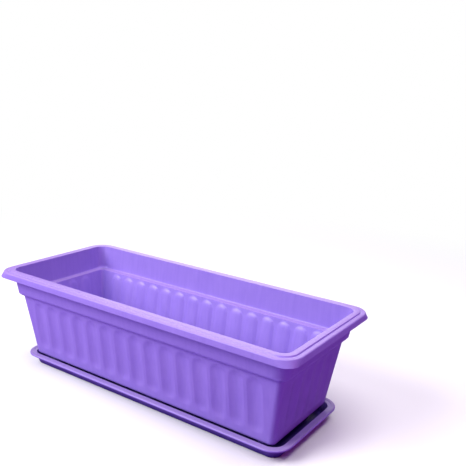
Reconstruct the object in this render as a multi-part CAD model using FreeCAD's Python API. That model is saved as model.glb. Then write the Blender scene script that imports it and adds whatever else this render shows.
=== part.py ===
import FreeCAD, Part
import math
import os

# Window box planter standing in its drip tray. Millimetres, +Z up, X along the length.
# The origin is the middle of the tray's underside. Each piece is one thin plastic moulding.

# Planter: overall size over the rim's skirt, and from its feet to the rim
RIM_LENGTH = 430.0
RIM_WIDTH = 185.0
PLANTER_HEIGHT = 127.2
WALL = 2.2
FLOOR = 2.4

# Rim: a flat flange with a raised inner band, and a skirt turned down at its outer edge
RIM_BAND = 13.3
RIM_PLATE = 2.4
RIM_CORNER = 22.0
RIM_STEP = 1.0
RIM_STEP_INSET = 6.5
RIM_EDGE_ROUND = 1.5
SKIRT_HEIGHT = 8.8
SKIRT_FLARE = 0.3
SKIRT_CORNER = 15.0

# Collar: the wide smooth band under the rim, which curves in to the crease where the body starts
COLLAR_CORNER = 13.0
COLLAR_STRAIGHT = 24.0
COLLAR_DRAFT = 1.8
CREASE_DROP = 35.2
CREASE_INSET = 21.7
LEDGE_DROP = 31.7
LEDGE_ROUND = 3.0

# Body: drafted walls down to a rounded bottom edge
BODY_DRAFT = 11.5
BODY_CORNER = 6.5
BOTTOM_ROUND = 4.0

# Flutes: shallow round scoops in the body walls, which stand out as bumps inside
FLUTE_PITCH = 23.1
FLUTE_WIDTH = 18.0
FLUTE_DEPTH = 1.7
FLUTE_END_DEPTH = 1.2
FLUTE_TOP_GAP = 4.0
FLUTE_BOTTOM_GAP = 9.7
FLUTE_MARGIN = 2.0

# Feet and drain holes in the planter's floor, which the feet hold level with the tray's lip
FOOT_HEIGHT = 12.3
FOOT_RADIUS = 8.0
FOOT_ROWS = 3
FOOT_EDGE = 22.0
HOLE_RADIUS = 4.0
HOLE_PITCH = 70.0
HOLE_COUNT = 4
HOLE_ROW_SPACING = 56.0

# Drip tray: a shallow dish with a flat lip all round. The gaps are those left round the planter.
TRAY_END_GAP = 6.6
TRAY_SIDE_GAP = 1.9
TRAY_HEIGHT = 15.8
TRAY_WALL = 2.0
TRAY_FLOOR = 2.0
TRAY_CORNER = 23.0
TRAY_LIP = 8.7
TRAY_BASE_INSET = 12.3
TRAY_BEAD_WIDTH = 4.0
TRAY_BEAD_RISE = 0.6
TRAY_BOTTOM_ROUND = 2.5

# Levels and insets that follow from the sizes above
ROUND_STEPS = 4
FOOT_Z = TRAY_FLOOR
BODY_Z = FOOT_Z + FOOT_HEIGHT
RIM_Z = FOOT_Z + PLANTER_HEIGHT
CREASE_Z = RIM_Z - CREASE_DROP
LEDGE_Z = RIM_Z - LEDGE_DROP
COLLAR_INSET = RIM_BAND - WALL
BAND_SLOPE = COLLAR_DRAFT / COLLAR_STRAIGHT
BODY_SLOPE = BODY_DRAFT / (CREASE_Z - BODY_Z)
BODY_INSET_AT_LIP = CREASE_INSET + BODY_SLOPE * (CREASE_Z - TRAY_HEIGHT)
TRAY_HALF_LENGTH = RIM_LENGTH / 2 - BODY_INSET_AT_LIP + TRAY_END_GAP + TRAY_LIP
TRAY_HALF_WIDTH = RIM_WIDTH / 2 - BODY_INSET_AT_LIP + TRAY_SIDE_GAP + TRAY_LIP
OVERCUT = 1.0
SCOOP_PROUD = 0.3


def outline(half_length, half_width, corner, z):
    """A level rectangle with round corners, as one closed wire."""
    x, y = half_length - corner, half_width - corner
    diagonal = corner * math.sqrt(0.5)
    edges = []
    for turn in range(4):
        angle = math.radians(90 * turn)
        cos, sin = math.cos(angle), math.sin(angle)
        run_x, run_y = (x, y) if turn % 2 == 0 else (y, x)

        def place(u, v):
            return FreeCAD.Vector(u * cos - v * sin, u * sin + v * cos, z)

        start, end = place(run_x + corner, -run_y), place(run_x + corner, run_y)
        middle = place(run_x + diagonal, run_y + diagonal)
        next_start = place(run_x, run_y + corner)
        edges.append(Part.LineSegment(start, end).toShape())
        edges.append(Part.Arc(end, middle, next_start).toShape())
    return Part.Wire(edges)


def rim_outline(inset, corner, z):
    """The planter's outline, drawn in from the rim's outermost edge."""
    return outline(RIM_LENGTH / 2 - inset, RIM_WIDTH / 2 - inset, corner, z)


def tray_outline(inset, z):
    """The tray's outline drawn in from the lip's outer edge."""
    return outline(TRAY_HALF_LENGTH - inset, TRAY_HALF_WIDTH - inset, TRAY_CORNER - inset, z)


def block(outlines):
    """A closed solid through a stack of outlines."""
    return Part.makeLoft(outlines, True, True)


def round_points(inset, z, radius_in, radius_up, start, end):
    """Insets and levels along a quarter ellipse, between two angles in degrees."""
    points = []
    for step in range(ROUND_STEPS + 1):
        angle = math.radians(start + (end - start) * step / ROUND_STEPS)
        points.append((inset + radius_in * math.cos(angle), z + radius_up * math.sin(angle)))
    return points


def rim():
    """The flange: outer band, raised inner band and hollow skirt."""
    outer_z = RIM_Z - RIM_STEP
    skirt_z = RIM_Z - SKIRT_HEIGHT
    outlines = [rim_outline(0, SKIRT_CORNER, skirt_z)]
    edge_inset = SKIRT_FLARE + RIM_EDGE_ROUND
    edge_z = outer_z - RIM_EDGE_ROUND
    for inset, z in round_points(edge_inset, edge_z, -RIM_EDGE_ROUND, RIM_EDGE_ROUND, 0, 90):
        outlines.append(rim_outline(inset, RIM_CORNER - inset, z))
    flange = block(outlines)
    band = block([
        rim_outline(RIM_STEP_INSET, RIM_CORNER - RIM_STEP_INSET, outer_z - RIM_STEP),
        rim_outline(RIM_STEP_INSET + RIM_STEP / 2, RIM_CORNER - RIM_STEP_INSET, RIM_Z),
    ])
    roof_inset = WALL + SKIRT_FLARE
    channel = block([
        rim_outline(WALL, SKIRT_CORNER - WALL, skirt_z - OVERCUT),
        rim_outline(WALL, SKIRT_CORNER - WALL, skirt_z),
        rim_outline(roof_inset, RIM_CORNER - roof_inset, outer_z - RIM_PLATE),
    ])
    return flange.fuse(band).cut(channel)


def tub():
    """The collar and body as one solid block, before it is hollowed."""
    outlines = [rim_outline(COLLAR_INSET, COLLAR_CORNER, RIM_Z - RIM_STEP - RIM_PLATE / 2)]
    start_inset = COLLAR_INSET + COLLAR_DRAFT
    curve_in = CREASE_INSET - start_inset
    curve_down = CREASE_DROP - COLLAR_STRAIGHT
    for inset, z in round_points(CREASE_INSET, RIM_Z - COLLAR_STRAIGHT, -curve_in, -curve_down, 0, 90):
        part_way = (inset - start_inset) / curve_in
        corner = COLLAR_CORNER + (BODY_CORNER - COLLAR_CORNER) * part_way
        outlines.append(rim_outline(inset, corner, z))
    collar = block(outlines)
    foot_inset = CREASE_INSET + BODY_DRAFT - BODY_SLOPE * BOTTOM_ROUND
    outlines = [rim_outline(CREASE_INSET, BODY_CORNER, CREASE_Z + OVERCUT)]
    outlines.append(rim_outline(CREASE_INSET, BODY_CORNER, CREASE_Z))
    inner_inset = foot_inset + BOTTOM_ROUND
    for inset, z in round_points(inner_inset, BODY_Z + BOTTOM_ROUND, -BOTTOM_ROUND, -BOTTOM_ROUND, 0, 90):
        outlines.append(rim_outline(inset, BODY_CORNER - (inset - foot_inset), z))
    return collar.fuse(block(outlines))


def hollow():
    """The space inside: a smooth upper band down to the rounded ledge, then the body's inside."""
    inner_corner = COLLAR_CORNER - WALL
    outlines = [
        rim_outline(RIM_BAND - OVERCUT, inner_corner + OVERCUT, RIM_Z + OVERCUT),
        rim_outline(RIM_BAND, inner_corner, RIM_Z - OVERCUT),
    ]
    band_inset = RIM_BAND + BAND_SLOPE * (LEDGE_DROP - LEDGE_ROUND)
    round_inset = band_inset + LEDGE_ROUND
    for inset, z in round_points(round_inset, LEDGE_Z + LEDGE_ROUND, -LEDGE_ROUND, -LEDGE_ROUND, 0, 90):
        outlines.append(rim_outline(inset, inner_corner - (inset - band_inset), z))
    upper = block(outlines)
    floor_z = BODY_Z + FLOOR
    wall_inset = CREASE_INSET + WALL - BODY_SLOPE * (LEDGE_Z - CREASE_Z)
    floor_inset = wall_inset + BODY_SLOPE * (LEDGE_Z - floor_z)
    corner = BODY_CORNER - WALL
    lower = block([
        rim_outline(wall_inset, corner, LEDGE_Z + OVERCUT),
        rim_outline(wall_inset, corner, LEDGE_Z),
        rim_outline(floor_inset, corner, floor_z + WALL),
        rim_outline(floor_inset + WALL, corner - WALL, floor_z),
    ])
    return upper.fuse(lower)


def scoop(surface):
    """A round-ended scoop in a wall whose face is at Y = surface: Y points out of it and Z up it."""
    radius = (FLUTE_WIDTH ** 2 / 4 + FLUTE_DEPTH ** 2) / (2 * FLUTE_DEPTH)
    top, bottom = flute_ends()
    top_axis = FreeCAD.Vector(0, surface + radius - FLUTE_DEPTH, top)
    bottom_axis = FreeCAD.Vector(0, surface + radius - FLUTE_END_DEPTH, bottom)
    run = top_axis - bottom_axis
    pieces = [Part.makeCylinder(radius, run.Length, bottom_axis, run)]
    pieces.append(Part.makeSphere(radius, top_axis))
    pieces.append(Part.makeSphere(radius, bottom_axis))
    depth = FLUTE_DEPTH + 2 * SCOOP_PROUD
    trim = Part.makeBox(FLUTE_PITCH, depth, top - bottom + 2 * FLUTE_WIDTH)
    trim.translate(FreeCAD.Vector(-FLUTE_PITCH / 2, surface + SCOOP_PROUD - depth, bottom - FLUTE_WIDTH))
    trimmed = [piece.common(trim) for piece in pieces]
    return trimmed[0].multiFuse(trimmed[1:])


def flute_ends():
    """Distances up the wall, from the crease down, of the middles of a flute's two round ends."""
    reach = FLUTE_WIDTH / 2
    lean = math.hypot(1, BODY_SLOPE)
    top = -(FLUTE_TOP_GAP + reach) * lean
    bottom = -(CREASE_Z - BODY_Z - FLUTE_BOTTOM_GAP - reach) * lean
    return top, bottom


def flute_places():
    """Where each flute starts: its place along its wall, the wall's distance and the wall's side."""
    half_slope = BODY_DRAFT / 2
    places = []
    for side in range(4):
        along, across = (RIM_LENGTH, RIM_WIDTH) if side % 2 == 0 else (RIM_WIDTH, RIM_LENGTH)
        flat_run = along - 2 * (CREASE_INSET + half_slope + BODY_CORNER + FLUTE_MARGIN)
        count = int(flat_run / FLUTE_PITCH)
        for index in range(count):
            offset = (index - (count - 1) / 2) * FLUTE_PITCH
            places.append((offset, across / 2 - CREASE_INSET, side))
    return places


def place_scoops(pattern):
    """Copies of one scoop at every flute, laid on the leaning walls."""
    lean = math.degrees(math.atan(BODY_SLOPE))
    copies = []
    for offset, distance, side in flute_places():
        turned = pattern.copy()
        turned.rotate(FreeCAD.Vector(0, 0, 0), FreeCAD.Vector(1, 0, 0), -lean)
        turned.translate(FreeCAD.Vector(offset, distance, CREASE_Z))
        turned.rotate(FreeCAD.Vector(0, 0, 0), FreeCAD.Vector(0, 0, 1), 90 * side)
        copies.append(turned)
    return Part.makeCompound(copies)


def drain_holes():
    """Round holes through the floor, in two rows."""
    holes = []
    for row in (-1, 1):
        for index in range(HOLE_COUNT):
            x = (index - (HOLE_COUNT - 1) / 2) * HOLE_PITCH
            base = FreeCAD.Vector(x, row * HOLE_ROW_SPACING / 2, BODY_Z - OVERCUT)
            holes.append(Part.makeCylinder(HOLE_RADIUS, FLOOR + 2 * OVERCUT, base))
    return Part.makeCompound(holes)


def floor_feet():
    """Round feet that hold the floor above the drained water in the tray."""
    foot_inset = CREASE_INSET + BODY_DRAFT + FOOT_EDGE
    x_reach = RIM_LENGTH / 2 - foot_inset
    y_reach = RIM_WIDTH / 2 - foot_inset
    feet = []
    for index in range(FOOT_ROWS):
        x = x_reach * (2 * index / (FOOT_ROWS - 1) - 1)
        for side in (-1, 1):
            base = FreeCAD.Vector(x, side * y_reach, FOOT_Z)
            feet.append(Part.makeCylinder(FOOT_RADIUS, FOOT_HEIGHT + FLOOR / 2, base))
    return feet


def planter_box():
    """The planter: one moulding with rim, collar, ledge, fluted walls, floor and feet."""
    square_wall = WALL / math.hypot(1, BODY_SLOPE)
    solid = tub().cut(place_scoops(scoop(0)))
    space = hollow().cut(place_scoops(scoop(-square_wall)))
    shell = solid.fuse(rim()).cut(space)
    return shell.multiFuse(floor_feet()).cut(drain_holes()).removeSplitter()


def drip_tray():
    """The tray: one moulding with a flat floor, sloping sides and a lip with a raised edge."""
    plate_z = TRAY_HEIGHT - TRAY_BEAD_RISE
    under_z = plate_z - TRAY_WALL
    edge = (TRAY_HEIGHT - under_z) / 2
    edge_points = round_points(edge, under_z + edge, -edge, edge, -90, 90)
    lip = block([tray_outline(inset, z) for inset, z in edge_points])
    slope = (TRAY_BASE_INSET - TRAY_LIP + TRAY_WALL) / under_z
    outlines = []
    foot_inset = TRAY_BASE_INSET - slope * TRAY_BOTTOM_ROUND + TRAY_BOTTOM_ROUND
    for inset, z in round_points(foot_inset, TRAY_BOTTOM_ROUND, -TRAY_BOTTOM_ROUND, -TRAY_BOTTOM_ROUND, 90, 0):
        outlines.append(tray_outline(inset, z))
    outlines.append(tray_outline(TRAY_LIP - TRAY_WALL - slope * edge, under_z + edge))
    dish = block(outlines)
    recess = block([
        tray_outline(TRAY_BEAD_WIDTH + TRAY_BEAD_RISE, plate_z),
        tray_outline(TRAY_BEAD_WIDTH - OVERCUT, TRAY_HEIGHT + OVERCUT),
    ])
    space = block([
        tray_outline(TRAY_LIP + slope * (under_z - TRAY_FLOOR), TRAY_FLOOR),
        tray_outline(TRAY_LIP - slope * (TRAY_HEIGHT + OVERCUT - under_z), TRAY_HEIGHT + OVERCUT),
    ])
    return lip.fuse(dish).cut(recess).cut(space)


os.makedirs("parts", exist_ok=True)
for name, make in (("planter_box", planter_box), ("drip_tray", drip_tray)):
    make().exportStep("parts/" + name + ".step")
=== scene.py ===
import math

import bmesh
import bpy
from mathutils import Matrix, Vector


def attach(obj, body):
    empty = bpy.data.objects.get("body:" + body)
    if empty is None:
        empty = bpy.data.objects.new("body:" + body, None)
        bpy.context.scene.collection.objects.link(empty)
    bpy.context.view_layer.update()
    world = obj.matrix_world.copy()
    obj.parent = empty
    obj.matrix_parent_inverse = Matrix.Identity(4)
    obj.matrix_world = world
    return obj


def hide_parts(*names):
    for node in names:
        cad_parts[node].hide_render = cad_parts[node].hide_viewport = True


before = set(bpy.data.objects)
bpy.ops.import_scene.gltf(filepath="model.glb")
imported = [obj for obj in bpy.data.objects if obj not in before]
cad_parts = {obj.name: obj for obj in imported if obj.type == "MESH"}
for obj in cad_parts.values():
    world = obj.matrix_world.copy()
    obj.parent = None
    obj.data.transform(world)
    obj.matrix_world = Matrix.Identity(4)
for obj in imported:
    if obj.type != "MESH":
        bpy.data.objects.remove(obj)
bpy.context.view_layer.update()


# ---------------------------------------------------------------------------------------------
# The drip tray: a shallow dish with a flat lip and a raised bead round its edge, moulded in one
# piece of lilac polypropylene. It lies loose on whatever the planter stands on.
# ---------------------------------------------------------------------------------------------

mm = 0.001
TRAY_SIZE = (197.3 * mm, 70.1 * mm)

# How far in from the lip's edge and how high each ring of the tray lies, and its corner radius,
# in mm: first the lip's outermost edge, then upwards and inwards from it, then under it.
TRAY_EDGE = (0, 14.5, 23)
TRAY_UPPER_RINGS = [
    # The raised bead
    (0.2, 15.15, 22.8), (0.65, 15.6, 22.3), (1.3, 15.8, 21.7), (3.7, 15.8, 19.3), (4.1, 15.72, 18.9),
    # The flat lip
    (4.5, 15.3, 18.5), (4.8, 15.2, 18.2), (7.9, 15.2, 15.1), (8.5, 15.05, 14.5),
    # The sloping side and the floor
    (8.8, 14.5, 14.2), (9.2, 12.9, 13.8), (12.3, 5.0, 11.0), (12.8, 3.4, 10.5), (13.8, 2.3, 9.6),
    (15.6, 2.0, 8.0),
]
TRAY_UNDER_RINGS = [
    # The lip's underside
    (0.2, 13.85, 22.8), (0.65, 13.4, 22.3), (1.3, 13.2, 21.7), (5.8, 13.2, 17.4), (6.6, 12.95, 16.6),
    # The outside of the side and the underside
    (7.1, 12.1, 16.2), (10.9, 3.4, 12.5), (11.5, 1.4, 12.0), (12.4, 0.4, 11.0), (14.0, 0.0, 9.6),
]
SMALLEST_SHARP_ANGLE = 40
LIGHT_LILAC = (0.33, 0.225, 0.68, 1)
DEEP_LILAC = (0.255, 0.168, 0.6, 1)
# The paler colour that faces looking up turn to: a painted highlight.
TRAY_PAINTED_HIGHLIGHT = (0.36, 0.26, 0.56, 1)
# The dark colour of the lowest faces, up to the height below: painted shade towards the ground.
TRAY_PAINTED_SHADE = (0.035, 0.013, 0.22, 1)
TRAY_PAINTED_SHADE_HEIGHT = 14 * mm


def select(piece, kind, test):
    """Selects the verts, edges or faces that pass a test on where they lie, and nothing else."""
    bpy.ops.mesh.select_all(action="DESELECT")
    bpy.ops.mesh.select_mode(type={"verts": "VERT", "edges": "EDGE", "faces": "FACE"}[kind])
    mesh = bmesh.from_edit_mesh(piece.data)
    mesh.normal_update()
    for part in getattr(mesh, kind):
        if not part.hide and test(part):
            part.select_set(True)
    bmesh.update_edit_mesh(piece.data)


def lies_at(part, z):
    """Tells whether every corner of an edge or face is at one height."""
    return all(abs(vert.co.z - z) < 1e-6 for vert in part.verts)


def rounded_plate(name, size, ring):
    """Starts a piece from a plane with round corners, left in edit mode with its face selected."""
    inset, z, corner = (value * mm for value in ring)
    bpy.ops.object.select_all(action="DESELECT")
    bpy.ops.mesh.primitive_plane_add(size=2)
    piece = bpy.context.object
    piece.name = name
    bpy.ops.object.mode_set(mode="EDIT")
    bpy.ops.mesh.select_all(action="SELECT")
    bpy.ops.transform.resize(value=(size[0] - inset, size[1] - inset, 1))
    bpy.ops.transform.translate(value=(0, 0, z))
    bpy.ops.mesh.bevel(offset=corner, offset_type="OFFSET", segments=8, affect="VERTICES")
    bpy.ops.mesh.select_all(action="SELECT")
    return piece


def grow_rings(piece, size, start, rings):
    """Extrudes the selected plate ring by ring, drawing its sides in and changing its corners."""
    half_length, half_width = size
    inset, z, corner = (value * mm for value in start)
    bpy.ops.mesh.select_mode(type="VERT")
    for ring in rings:
        new_inset, new_z, new_corner = (value * mm for value in ring)
        bpy.ops.mesh.extrude_region_move(TRANSFORM_OT_translate={"value": (0, 0, new_z - z)})
        cap = [vert.index for vert in bmesh.from_edit_mesh(piece.data).verts if vert.select]
        reach_x = half_length - inset - corner - 1e-6
        reach_y = half_width - inset - corner - 1e-6

        def choose(side_x, side_y):
            """Selects the cap's points on one side (the other side 0) or on one corner's arc."""
            mesh = bmesh.from_edit_mesh(piece.data)
            mesh.verts.ensure_lookup_table()
            bpy.ops.mesh.select_all(action="DESELECT")
            for index in cap:
                vert = mesh.verts[index]
                in_x = side_x == 0 or vert.co.x * side_x > reach_x
                in_y = side_y == 0 or vert.co.y * side_y > reach_y
                vert.select_set(in_x and in_y)

        step = new_inset - inset
        for side in (-1, 1):
            choose(side, 0)
            bpy.ops.transform.translate(value=(-side * step, 0, 0))
        reach_x -= step
        for side in (-1, 1):
            choose(0, side)
            bpy.ops.transform.translate(value=(0, -side * step, 0))
        reach_y -= step
        if abs(new_corner - corner) > 1e-9:
            factor = new_corner / corner
            for side_x, side_y in ((1, 1), (-1, 1), (-1, -1), (1, -1)):
                choose(side_x, side_y)
                middle = (side_x * (half_length - new_inset), side_y * (half_width - new_inset), 0)
                bpy.ops.transform.resize(value=(factor, factor, 1), center_override=middle)
        choose(0, 0)
        mesh = bmesh.from_edit_mesh(piece.data)
        mesh.select_flush_mode()
        bmesh.update_edit_mesh(piece.data)
        inset, z, corner = new_inset, new_z, new_corner


def smooth_piece(piece):
    """Turns all faces outward, and shades them smooth by their angle and their area."""
    bpy.ops.mesh.select_mode(type="FACE")
    bpy.ops.mesh.select_all(action="SELECT")
    bpy.ops.mesh.normals_make_consistent(inside=False)
    bpy.ops.object.mode_set(mode="OBJECT")
    bpy.ops.object.shade_smooth_by_angle(angle=math.radians(SMALLEST_SHARP_ANGLE))
    smooth = piece.modifiers.new("even shading", "WEIGHTED_NORMAL")
    smooth.keep_sharp = True
    bpy.ops.object.modifier_apply(modifier=smooth.name)


class Shade:
    """One socket of a material, so that shader maths can be written as plain expressions."""

    def __init__(self, tree, socket):
        self.tree = tree
        self.socket = socket

    def node(self, kind, settings=None, inputs=None, output=0):
        """Adds a node with its settings and inputs, and returns one of its outputs."""
        node = self.tree.nodes.new(kind)
        for name, value in (settings or {}).items():
            setattr(node, name, value)
        for name, value in (inputs or {}).items():
            if isinstance(value, Shade):
                self.tree.links.new(value.socket, node.inputs[name])
            else:
                node.inputs[name].default_value = value
        return Shade(self.tree, node.outputs[output])

    def maths(self, operation, *values):
        return self.node("ShaderNodeMath", {"operation": operation}, dict(enumerate(values)))

    def __add__(self, other):
        return self.maths("ADD", self, other)

    def __radd__(self, other):
        return self.maths("ADD", other, self)

    def __sub__(self, other):
        return self.maths("SUBTRACT", self, other)

    def __rsub__(self, other):
        return self.maths("SUBTRACT", other, self)

    def __mul__(self, other):
        return self.maths("MULTIPLY", self, other)

    def __rmul__(self, other):
        return self.maths("MULTIPLY", other, self)

    def held(self, low, high):
        """This value, held between two limits."""
        return self.node("ShaderNodeClamp", None, {0: self, 1: low, 2: high})

    def step(self, low, high):
        """0 below the low value, 1 above the high one and smooth between them."""
        return self.node("ShaderNodeMapRange", {"interpolation_type": "SMOOTHSTEP"},
                         {0: self, 1: low, 2: high})

    def mix(self, first, second):
        """The first colour where this value is 0 and the second where it is 1."""
        # The colour sockets of a Mix node share their names with others, so they go by number.
        return self.node("ShaderNodeMix", {"data_type": "RGBA"}, {0: self, 6: first, 7: second}, 2)


def moulded_plastic(piece, name, highlight_colour, shade_colour, shade_height):
    """Satin injection-moulded plastic: soft flow streaks down the walls, faint mottling and grain,
    a painted highlight that makes the faces that look up paler, and painted shade that darkens the
    lowest faces."""
    material = bpy.data.materials.new(name)
    material.use_nodes = True
    piece.data.materials.clear()
    piece.data.materials.append(material)
    tree = material.node_tree
    shader = tree.nodes["Principled BSDF"]
    shader.inputs["IOR"].default_value = 1.5
    here = Shade(tree, tree.nodes.new("ShaderNodeTexCoord").outputs["Object"])

    def noise(scale, detail, stretch=(1, 1, 1)):
        at = here.node("ShaderNodeMapping", None, {"Vector": here, "Scale": stretch})
        return here.node("ShaderNodeTexNoise", None,
                         {"Vector": at, "Scale": scale, "Detail": detail, "Roughness": 0.55})

    mottle = noise(38, 3)
    streak = noise(260, 2, (1, 1, 0.07))
    grain = noise(1900, 2)
    tone = (mottle - 0.5) * 0.7 + (streak - 0.5) * 0.8 + (grain - 0.5) * 0.5
    lilac = (0.5 + tone).held(0, 1).mix(DEEP_LILAC, LIGHT_LILAC)
    normal = here.node("ShaderNodeNewGeometry", output="Normal")
    facing_up = here.node("ShaderNodeSeparateXYZ", None, {"Vector": normal}, "Z")
    # Faces that look up are painted paler: a painted highlight.
    painted_highlight = facing_up.step(0.6, 0.97) * (0.85 + (mottle - 0.5) * 0.6)
    height = here.node("ShaderNodeSeparateXYZ", None, {"Vector": here}, "Z")
    # Faces low down are painted darker: painted shade towards the ground.
    unshaded = (height + (mottle - 0.5) * 4 * mm).step(0, shade_height)
    base = unshaded.mix(shade_colour, painted_highlight.held(0, 1).mix(lilac, highlight_colour))
    tree.links.new(base.socket, shader.inputs["Base Color"])
    gloss = 0.42 + (mottle - 0.5) * 0.12 + (grain - 0.5) * 0.16
    tree.links.new(gloss.held(0.2, 0.8).socket, shader.inputs["Roughness"])
    relief = grain * (0.04 * mm) + streak * (0.08 * mm) + mottle * (0.3 * mm)
    bump = here.node("ShaderNodeBump", None, {"Height": relief, "Strength": 0.6, "Distance": 1})
    tree.links.new(bump.socket, shader.inputs["Normal"])


tray = rounded_plate("drip_tray_dish", TRAY_SIZE, TRAY_EDGE)
grow_rings(tray, TRAY_SIZE, TRAY_EDGE, TRAY_UPPER_RINGS)
select(tray, "faces", lambda face: lies_at(face, TRAY_EDGE[1] * mm))
grow_rings(tray, TRAY_SIZE, TRAY_EDGE, TRAY_UNDER_RINGS)
moulded_plastic(tray, "lilac_tray_plastic", TRAY_PAINTED_HIGHLIGHT, TRAY_PAINTED_SHADE, TRAY_PAINTED_SHADE_HEIGHT)
smooth_piece(tray)
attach(tray, "tray")
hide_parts("drip_tray")


# ---------------------------------------------------------------------------------------------
# The planter box: one lilac polypropylene moulding with a flat rim, a turned-down skirt, a smooth
# collar and, below the crease, walls in shallow flutes that stand out inside as bumps under a
# ledge. Six round feet under its pierced floor hold it level with the lip of the tray it stands in.
# ---------------------------------------------------------------------------------------------

RIM_SIZE = (215 * mm, 92.5 * mm)

# How far in from the rim's edge and how high each ring of the planter lies, and its corner radius,
# in mm: first the rim's outer edge, then over the rim and down the inside, then down the outside.
RIM_EDGE = (0.3, 126.7, 22)
RIM_AND_INNER_RINGS = [
    # The rim's outer band, with a groove at its inner side
    (0.5, 127.4, 21.8), (1.0, 127.95, 21.3), (1.8, 128.2, 20.5), (5.3, 128.2, 17.4), (5.7, 127.8, 17.1),
    (6.2, 127.7, 16.8), (6.5, 128.2, 16.6),
    # The rim's raised inner band
    (6.75, 128.95, 16.4), (7.1, 129.2, 16.1), (12.6, 129.2, 11.4), (13.1, 129.05, 11.0),
    # The smooth band inside, and the ledge under it
    (13.3, 128.6, 11.8), (15.3, 99.6, 12.2), (15.5, 98.4, 12.0), (16.1, 97.7, 11.4), (17.2, 97.5, 10.4),
    (22.9, 97.5, 4.8), (23.3, 97.2, 4.6),
    # The inner wall and the floor
    (23.6, 95.6, 4.5), (26.3, 77.0, 4.5), (32.3, 36.0, 4.5), (34.4, 21.0, 4.5), (34.7, 19.4, 4.5),
    (35.1, 17.9, 4.4), (36.0, 17.0, 4.2), (37.4, 16.7, 3.8),
]
SKIRT_AND_OUTER_RINGS = [
    # The skirt and the hollow behind it
    (0.05, 121.0, 15.2), (0.2, 120.55, 15.0), (0.6, 120.4, 14.8), (1.7, 120.4, 14.2), (2.1, 120.6, 14.0),
    (2.2, 121.0, 14.0), (2.45, 125.4, 17.0), (2.9, 125.8, 16.8), (10.8, 125.8, 13.8), (11.3, 125.6, 13.8),
    # The collar, which turns in to the crease
    (11.5, 125.1, 14.4), (12.8, 113.0, 14.8), (14.3, 101.6, 15.2), (14.9, 99.3, 14.9), (15.9, 97.7, 14.2),
    (17.2, 96.6, 12.8), (19.2, 95.6, 10.2), (21.0, 94.7, 7.8), (21.6, 93.9, 6.8), (21.85, 92.9, 6.6),
    # The outer wall and the underside
    (22.05, 91.6, 6.5), (24.15, 77.0, 6.5), (30.1, 36.0, 6.5), (32.2, 21.0, 6.5), (32.6, 18.3, 6.5),
    (32.95, 16.8, 6.2), (33.8, 15.4, 5.6), (35.1, 14.6, 4.8), (36.7, 14.3, 4.0),
]

# Between two of those rings' heights, in mm, the walls get this many more rows.
WALL_ROWS = [(91.6, 77.0, 9), (95.6, 77.0, 11), (77.0, 36.0, 10), (36.0, 21.0, 6)]

# The flutes are spaced in whole columns; these many columns lie on each side of a wall's middle.
FLUTE_COLUMN = 1.925 * mm
FLUTE_PITCH = 12 * FLUTE_COLUMN
SIDE_COLUMNS = 89
END_COLUMNS = 24
SIDE_FLUTES = 15
END_FLUTES = 4
FLUTE_DEPTH = 1.7 * mm
END_FLUTE_DEPTH = 1.2 * mm

# In mm: the crease's height, the walls' insets there, and the lowest and highest point of the
# middle line of a bump or a flute, which its radius reaches past.
CREASE_Z = 94
INNER_WALL_INSET = 23.8
OUTER_WALL_INSET = 21.7
WALL_SLOPE = 11.5 / 79.7
MIDDLE_LINE_LOW = 32
BUMP_HIGH, BUMP_RADIUS = 86.8, 8.2
FLUTE_HIGH, FLUTE_RADIUS = 81.5, 9.2
WALL_LOW, WALL_HIGH = 20, 96
CORNER_START = (183 * mm, 60 * mm)
SMALLEST_FLUTE_ANGLE = 11.5

FLOOR_Z = 16.7 * mm
UNDER_Z = 14.3 * mm
FOOT_Z = 2 * mm
FOOT_RADIUS = 8 * mm
FOOT_PLACES = [(x * mm, y * mm) for x in (-159.8, 0, 159.8) for y in (-37.3, 37.3)]
FOOT_CHAMFER = 0.6 * mm
HOLE_RADIUS = 4 * mm
HOLE_PLACES = [(x * mm, y * mm) for x in (-105, -35, 35, 105) for y in (-28, 28)]
# The paler colour that faces looking up turn to: a painted highlight.
PLANTER_PAINTED_HIGHLIGHT = (0.31, 0.2, 0.53, 1)
# The dark colour of the lowest faces, up to the height below: painted shade in the tray's gap.
PLANTER_PAINTED_SHADE = (0.14, 0.08, 0.5, 1)
PLANTER_PAINTED_SHADE_HEIGHT = 20 * mm

planter = rounded_plate("planter_box_shell", RIM_SIZE, RIM_EDGE)

# The plate's sides are cut at the middle and past the last flute, then the plate grows both ways.
bpy.ops.mesh.delete(type="ONLY_FACE")
for count, normal in ((SIDE_COLUMNS, Vector((1, 0, 0))), (END_COLUMNS, Vector((0, 1, 0)))):
    for place in (-count, 0, count):
        bpy.ops.mesh.select_all(action="SELECT")
        bpy.ops.mesh.bisect(plane_co=normal * place * FLUTE_COLUMN, plane_no=normal)
bpy.ops.mesh.select_all(action="SELECT")
bpy.ops.mesh.edge_face_add()
grow_rings(planter, RIM_SIZE, RIM_EDGE, RIM_AND_INNER_RINGS)
select(planter, "faces", lambda face: lies_at(face, RIM_EDGE[1] * mm))
grow_rings(planter, RIM_SIZE, RIM_EDGE, SKIRT_AND_OUTER_RINGS)

# Rows across the outer and the inner wall, close together where the flutes begin and end, and
# even upright columns along all four sides.
for high, low, cuts in WALL_ROWS:
    select(planter, "edges", lambda edge: {round(vert.co.z / mm, 2) for vert in edge.verts} == {high, low})
    bpy.ops.mesh.subdivide_edgering(number_cuts=cuts, interpolation="LINEAR", smoothness=0)
for axis, count in ((0, SIDE_COLUMNS), (1, END_COLUMNS)):
    limit = count * FLUTE_COLUMN + 1e-6
    select(planter, "edges", lambda edge: all(abs(vert.co[axis]) < limit for vert in edge.verts)
           and abs(edge.verts[0].co[axis] - edge.verts[1].co[axis]) > 20 * mm)
    bpy.ops.mesh.subdivide(number_cuts=count - 1)

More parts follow.
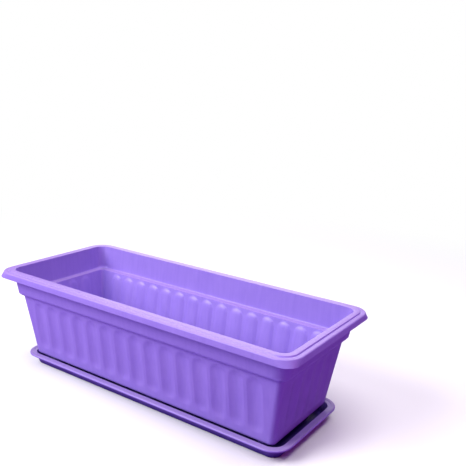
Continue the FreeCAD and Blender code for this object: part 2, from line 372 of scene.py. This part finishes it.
# Flutes outside and bumps inside: with the other wall hidden, the middle line of each is pressed
# inwards and the wall round it follows in a smooth hollow with round ends.
for wall_inset, high, radius, falloff in (
        (INNER_WALL_INSET, BUMP_HIGH, BUMP_RADIUS, "SPHERE"),
        (OUTER_WALL_INSET, FLUTE_HIGH, FLUTE_RADIUS, "INVERSE_SQUARE")):
    def on_wall(vert):
        height = vert.co.z / mm
        inset = min(RIM_SIZE[0] - abs(vert.co.x), RIM_SIZE[1] - abs(vert.co.y)) / mm
        here_inset = wall_inset + WALL_SLOPE * (CREASE_Z - height)
        return WALL_LOW < height < WALL_HIGH and abs(inset - here_inset) < 0.8

    select(planter, "verts", on_wall)
    bpy.ops.mesh.hide(unselected=True)
    for axis, count, depth in ((1, SIDE_FLUTES, FLUTE_DEPTH), (0, END_FLUTES, END_FLUTE_DEPTH)):
        for side in (-1, 1):
            def on_middle_line(vert):
                across = vert.co[1 - axis] / FLUTE_PITCH + (0.5 if count % 2 == 0 else 0)
                return (MIDDLE_LINE_LOW < vert.co.z / mm < high
                        and abs(across - round(across)) < 0.01
                        and abs(vert.co[1 - axis]) < count / 2 * FLUTE_PITCH
                        and vert.co[axis] * side > RIM_SIZE[axis] - 40 * mm)

            select(planter, "verts", on_middle_line)
            move = [0, 0, 0]
            move[axis] = -side * depth
            bpy.ops.transform.translate(value=move, use_proportional_edit=True,
                                        proportional_edit_falloff=falloff,
                                        proportional_size=radius * mm)
    bpy.ops.mesh.reveal(select=False)

# The borders of flutes and bumps are crisp, as the mould cuts them.
select(planter, "edges", lambda edge: edge.calc_face_angle(0) > math.radians(SMALLEST_FLUTE_ANGLE)
       and all(24 < vert.co.z / mm < 95.5 for vert in edge.verts)
       and all(abs(vert.co.x) < CORNER_START[0] or abs(vert.co.y) < CORNER_START[1]
               for vert in edge.verts))
bpy.ops.mesh.mark_sharp()

# Drain holes through the floor, and feet under it: the two big faces give way to ones with holes.
select(planter, "faces", lambda face: len(face.verts) > 50)
bpy.ops.mesh.delete(type="ONLY_FACE")
bpy.ops.mesh.select_mode(type="EDGE")
for x, y in HOLE_PLACES:
    for z in (FLOOR_Z, UNDER_Z):
        bpy.ops.mesh.primitive_circle_add(vertices=24, radius=HOLE_RADIUS, location=(x, y, z))
for x, y in FOOT_PLACES:
    bpy.ops.mesh.primitive_circle_add(vertices=32, radius=FOOT_RADIUS, location=(x, y, UNDER_Z))
for z in (FLOOR_Z, UNDER_Z):
    select(planter, "edges", lambda edge: lies_at(edge, z) and (edge.is_boundary or edge.is_wire))
    bpy.ops.mesh.fill(use_beauty=True)
for x, y in HOLE_PLACES:
    select(planter, "edges", lambda edge: edge.is_boundary
           and all((vert.co.xy - Vector((x, y))).length < HOLE_RADIUS * 1.02 for vert in edge.verts))
    bpy.ops.mesh.bridge_edge_loops()
select(planter, "edges", lambda edge: edge.is_boundary)
for drop in (UNDER_Z - FOOT_Z - FOOT_CHAMFER, FOOT_CHAMFER):
    bpy.ops.mesh.extrude_region_move(TRANSFORM_OT_translate={"value": (0, 0, -drop)})
for x, y in FOOT_PLACES:
    select(planter, "edges", lambda edge: edge.is_boundary
           and all((vert.co.xy - Vector((x, y))).length < FOOT_RADIUS * 1.02 for vert in edge.verts))
    narrower = 0.93
    bpy.ops.transform.resize(value=(narrower, narrower, 1), center_override=(x, y, FOOT_Z))
    bpy.ops.mesh.edge_face_add()
moulded_plastic(planter, "lilac_planter_plastic", PLANTER_PAINTED_HIGHLIGHT, PLANTER_PAINTED_SHADE, PLANTER_PAINTED_SHADE_HEIGHT)
smooth_piece(planter)
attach(planter, "planter")
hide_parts("planter_box")


# ---------------------------------------------------------------------------------------------
# The set: plain pale paper, white to the camera and lilac in what it throws back, soft lights, and
# the camera at the photograph's viewing angle.
# ---------------------------------------------------------------------------------------------

AMBIENT = 0.14
SHADOW_TINT = (0.6, 0.24, 1, 1)
PAPER_SEEN = (0.9, 0.9, 0.9, 1)
PAPER_BOUNCE = (0.24, 0.13, 0.4, 1)
FADE_START = 0.45
FADE_END = 1.1
WHITE = (1, 1, 1)

bpy.ops.object.select_all(action="DESELECT")
bpy.ops.mesh.primitive_plane_add(size=12)
floor = bpy.context.object
floor.name = "floor"
paper = bpy.data.materials.new("floor_paper")
paper.use_nodes = True
floor.data.materials.append(paper)
tree = paper.node_tree
seen = Shade(tree, tree.nodes.new("ShaderNodeLightPath").outputs["Is Camera Ray"])
matt = tree.nodes["Principled BSDF"]
tree.links.new(seen.mix(PAPER_BOUNCE, PAPER_SEEN).socket, matt.inputs["Base Color"])
matt.inputs["Roughness"].default_value = 1
matt.inputs["Specular IOR Level"].default_value = 0

# Far from the planter the paper fades, for the camera alone, into the white behind it.
here = Shade(tree, tree.nodes.new("ShaderNodeTexCoord").outputs["Object"])
distance = here.node("ShaderNodeVectorMath", {"operation": "LENGTH"}, {0: here}, "Value")
faded = seen * distance.step(FADE_START, FADE_END)
lit_paper = Shade(tree, matt.outputs["BSDF"])
paper_look = here.node("ShaderNodeMixShader", None,
                       {0: faded, 1: lit_paper, 2: here.node("ShaderNodeEmission")})
tree.links.new(paper_look.socket, tree.nodes["Material Output"].inputs["Surface"])

scene = bpy.context.scene
scene.view_settings.view_transform = "Standard"
scene.world = bpy.data.worlds.new("studio")
scene.world.use_nodes = True
tree = scene.world.node_tree
background = tree.nodes["Background"]
seen = Shade(tree, tree.nodes.new("ShaderNodeLightPath").outputs["Is Camera Ray"])
tree.links.new(seen.mix(SHADOW_TINT, (*WHITE, 1)).socket, background.inputs["Color"])
tree.links.new((seen * (1 - AMBIENT) + AMBIENT).socket, background.inputs["Strength"])


def soft_light(name, size, energy, colour, location, target):
    """Adds one square soft light that faces a point."""
    bpy.ops.object.light_add(type="AREA", location=location)
    light = bpy.context.object
    light.name = name
    light.data.size = size
    light.data.energy = energy
    light.data.color = colour
    light.rotation_euler = (Vector(target) - light.location).to_track_quat("-Z", "Y").to_euler()
    return light.data


soft_light("key_light", 0.9, 30, WHITE, (-0.64, -1.06, 0.95), (0, 0, 0.07))
soft_light("top_light", 1.3, 24, (1, 0.97, 1), (0.3, 0.05, 1.55), (0, 0, 0.07))
soft_light("back_light", 1.1, 9, WHITE, (-0.95, 1.45, 0.75), (0, 0, 0.1))
bounce = soft_light("purple_bounce", 0.5, 0.16, (1, 0.05, 0.7), (1.15, -0.1, 0.3), (0, 0, 0.09))
bounce.spread = math.radians(50)

# The camera looks down at the planter from the right and is tilted a little.
azimuth, elevation, roll = math.radians(33.96), math.radians(13.81), math.radians(2.46)
back = Vector((math.sin(azimuth) * math.cos(elevation), -math.cos(azimuth) * math.cos(elevation),
               math.sin(elevation)))
level_right = Vector((math.cos(azimuth), math.sin(azimuth), 0))
level_up = back.cross(level_right)
right = level_right * math.cos(roll) + level_up * math.sin(roll)
up = level_up * math.cos(roll) - level_right * math.sin(roll)
bpy.ops.object.camera_add(location=(0.4701, -0.5768, 0.3824))
camera = bpy.context.object
camera.name = "photo_camera"
camera.rotation_euler = Matrix((right, up, back)).transposed().to_euler()
camera.data.lens = 50.21
camera.data.sensor_width = 36
camera.data.clip_start = 0.02
scene.camera = camera
